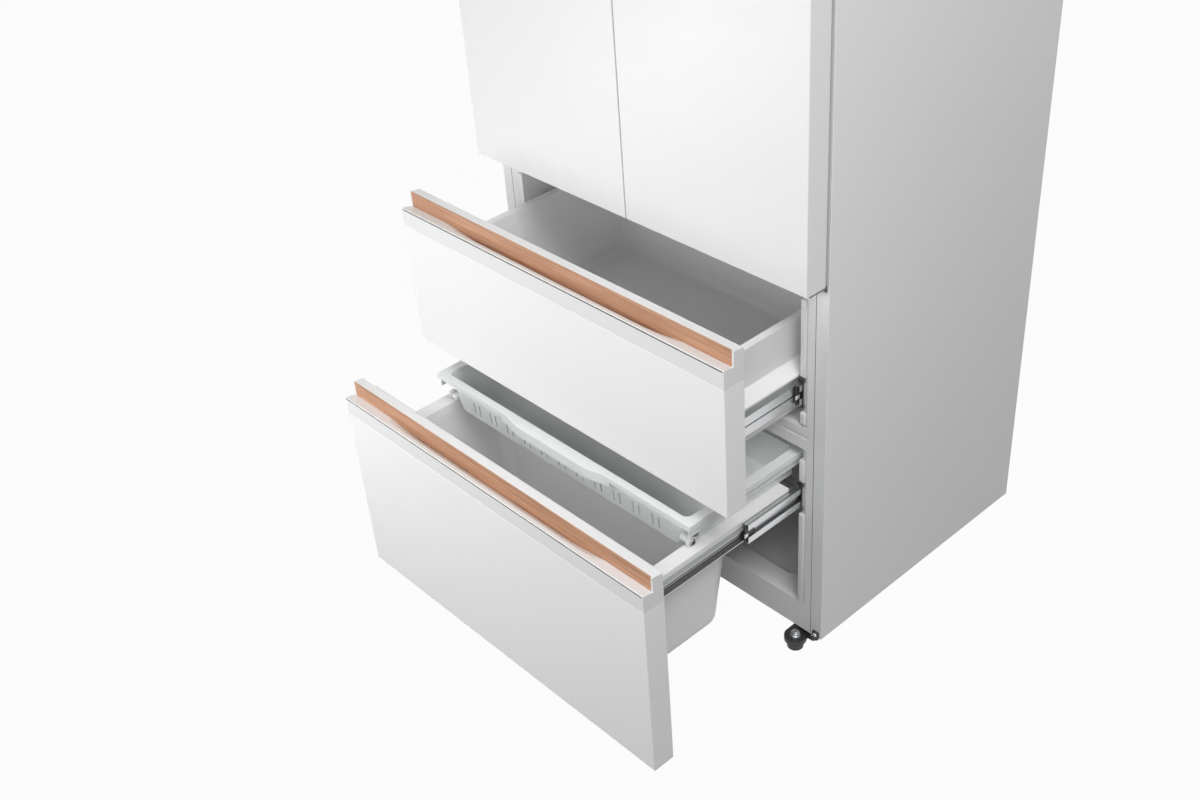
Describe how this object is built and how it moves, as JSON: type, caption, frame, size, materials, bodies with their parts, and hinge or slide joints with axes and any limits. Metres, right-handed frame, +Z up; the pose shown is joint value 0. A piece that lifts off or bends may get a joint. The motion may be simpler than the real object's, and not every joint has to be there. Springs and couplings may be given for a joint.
{
  "type": "multi-door refrigerator",
  "caption": "Free-standing white refrigerator with hinged upper doors over pull-out freezer drawers, each with an oak grip strip, a deep bin and telescopic slides.",
  "frame": {"origin": "middle of the footprint on the floor, drawers standing open", "axes": "+Z up, -Y towards the front, +X to the right seen from the front"},
  "size_m": [0.833, 1.049, 1.78],
  "materials": {
    "cabinet_paint": "satin powder coat on sheet steel",
    "zinc_sheet": "plain galvanised sheet",
    "insulation": "rigid foam",
    "liner_white": "thermoformed sheet, satin",
    "rail_white": "moulded plastic",
    "front_white": "satin coated skin over foam",
    "cap_white": "moulded plastic, satin",
    "oak": "oak with a clear satin finish",
    "trim_dark": "matt",
    "gasket_grey": "soft magnetic gasket",
    "bin_white": "moulded plastic, satin",
    "tray_white": "translucent moulded plastic",
    "crisper_clear": "clear moulded plastic",
    "slide_steel": "zinc-plated rolled steel",
    "bracket_steel": "zinc-plated pressed steel",
    "bracket_black": "black coat on pressed steel",
    "foot_grey": "moulded plastic on a steel stud",
    "wheel_dark": "moulded plastic",
    "roller_white": "moulded acetal",
    "shelf_glass": "tempered sheet glass",
    "lamp_white": "diffuser",
    "compressor_black": "black stove enamel",
    "coil_aluminium": "plain fins"
  },
  "bodies": {
    "cabinet": {"outer_wrap": "cabinet_paint", "back_panel": "zinc_sheet", "base_pan": "zinc_sheet", "cabinet_foam": "insulation", "fresh_liner": "liner_white", "freezer_liner": "liner_white", "mid_rail": "rail_white", "centre_mullion": "cabinet_paint", "bottom_rail": "cabinet_paint", "compressor": "compressor_black", "compressor_cover": "zinc_sheet", "condenser": "coil_aluminium", "fan_motor": "wheel_dark", "evaporator": "coil_aluminium", "freezer_duct_panel": "liner_white", "air_tower": "liner_white", "ceiling_lamp": "lamp_white", "glass_shelves": "shelf_glass", "shelf_trims": "rail_white", "top_hinges": "bracket_steel", "hinge_covers": "cap_white", "mid_hinges": "bracket_steel", "foot_brackets": "bracket_black", "upper_slide_outers": "slide_steel", "lower_slide_outers": "slide_steel"},
    "left_door": {"left_door_panel": "front_white", "left_door_liner": "liner_white", "left_door_gasket": "gasket_grey", "left_door_bins": "bin_white"},
    "right_door": {"right_door_panel": "front_white", "right_door_liner": "liner_white", "right_door_gasket": "gasket_grey", "right_door_bins": "bin_white"},
    "flipper": {"flipper_beam": "liner_white"},
    "upper_drawer": {"upper_front_panel": "front_white", "upper_front_cap": "cap_white", "upper_wood_strip": "oak", "upper_trim_line": "trim_dark", "upper_gasket": "gasket_grey", "upper_bin": "bin_white", "upper_slide_inners": "slide_steel"},
    "upper_middles": {"upper_slide_middles": "slide_steel"},
    "lower_drawer": {"lower_front_panel": "front_white", "lower_front_cap": "cap_white", "lower_wood_strip": "oak", "lower_trim_line": "trim_dark", "lower_gasket": "gasket_grey", "lower_bin": "bin_white", "lower_slide_inners": "slide_steel"},
    "lower_middles": {"lower_slide_middles": "slide_steel"},
    "tray": {"basket_tray": "tray_white"},
    "tray_roller_left": {"tray_roller_left": "roller_white"},
    "tray_roller_right": {"tray_roller_right": "roller_white"},
    "crisper_left": {"crisper_left": "crisper_clear"},
    "crisper_right": {"crisper_right": "crisper_clear"},
    "levelling_foot_left": {"levelling_foot_left": "foot_grey"},
    "levelling_foot_right": {"levelling_foot_right": "foot_grey"},
    "rear_roller_left": {"rear_roller_left": "wheel_dark"},
    "rear_roller_right": {"rear_roller_right": "wheel_dark"},
    "fan_rotor": {"fan_rotor": "wheel_dark"}
  },
  "joints": [
    {"name": "left_door_hinge", "type": "hinge", "parent": "cabinet", "child": "left_door", "pos_m": [-0.4025, -0.1115, 1.3], "axis": [0, 0, -1], "range_deg": [0, 120]},
    {"name": "right_door_hinge", "type": "hinge", "parent": "cabinet", "child": "right_door", "pos_m": [0.4025, -0.1115, 1.3], "axis": [0, 0, 1], "range_deg": [0, 120]},
    {"name": "flipper_hinge", "type": "hinge", "parent": "left_door", "child": "flipper", "pos_m": [-0.033, -0.0725, 1.3], "axis": [0, 0, -1], "range_deg": [0, 90]},
    {"name": "upper_drawer_slide", "type": "slide", "parent": "cabinet", "child": "upper_drawer", "axis": [0, -1, 0], "range_m": [-0.192, 0.208]},
    {"name": "upper_middles_slide", "type": "slide", "parent": "cabinet", "child": "upper_middles", "axis": [0, -1, 0], "range_m": [-0.096, 0.104]},
    {"name": "lower_drawer_slide", "type": "slide", "parent": "cabinet", "child": "lower_drawer", "axis": [0, -1, 0], "range_m": [-0.389, 0.031]},
    {"name": "lower_middles_slide", "type": "slide", "parent": "cabinet", "child": "lower_middles", "axis": [0, -1, 0], "range_m": [-0.1945, 0.0155]},
    {"name": "tray_slide", "type": "slide", "parent": "lower_drawer", "child": "tray", "axis": [0, -1, 0], "range_m": [-0.045, 0.108]},
    {"name": "tray_roller_left_spin", "type": "hinge", "parent": "tray", "child": "tray_roller_left", "pos_m": [-0.33225, -0.3315, 0.398], "axis": [1, 0, 0], "continuous": true},
    {"name": "tray_roller_right_spin", "type": "hinge", "parent": "tray", "child": "tray_roller_right", "pos_m": [0.33225, -0.3315, 0.398], "axis": [1, 0, 0], "continuous": true},
    {"name": "crisper_left_slide", "type": "slide", "parent": "cabinet", "child": "crisper_left", "axis": [0, -1, 0], "range_m": [0, 0.07]},
    {"name": "crisper_right_slide", "type": "slide", "parent": "cabinet", "child": "crisper_right", "axis": [0, -1, 0], "range_m": [0, 0.07]},
    {"name": "levelling_foot_left_screw", "type": "hinge", "parent": "cabinet", "child": "levelling_foot_left", "pos_m": [-0.365, -0.0935, 0.02], "axis": [0, 0, 1], "continuous": true},
    {"name": "levelling_foot_right_screw", "type": "hinge", "parent": "cabinet", "child": "levelling_foot_right", "pos_m": [0.365, -0.0935, 0.02], "axis": [0, 0, 1], "continuous": true},
    {"name": "rear_roller_left_spin", "type": "hinge", "parent": "cabinet", "child": "rear_roller_left", "pos_m": [-0.3, 0.4745, 0.018], "axis": [1, 0, 0], "continuous": true},
    {"name": "rear_roller_right_spin", "type": "hinge", "parent": "cabinet", "child": "rear_roller_right", "pos_m": [0.3, 0.4745, 0.018], "axis": [1, 0, 0], "continuous": true},
    {"name": "fan_spin", "type": "hinge", "parent": "cabinet", "child": "fan_rotor", "pos_m": [0.02, 0.3825, 0.1362], "axis": [1, 0, 0], "continuous": true}
  ],
  "couplings": [
    {"joint": "upper_middles_slide", "follows": "upper_drawer_slide", "ratio": 0.5},
    {"joint": "lower_middles_slide", "follows": "lower_drawer_slide", "ratio": 0.5},
    {"joint": "tray_roller_left_spin", "follows": "tray_slide", "rad_per_m": 103.09},
    {"joint": "tray_roller_right_spin", "follows": "tray_slide", "rad_per_m": 103.09}
  ]
}
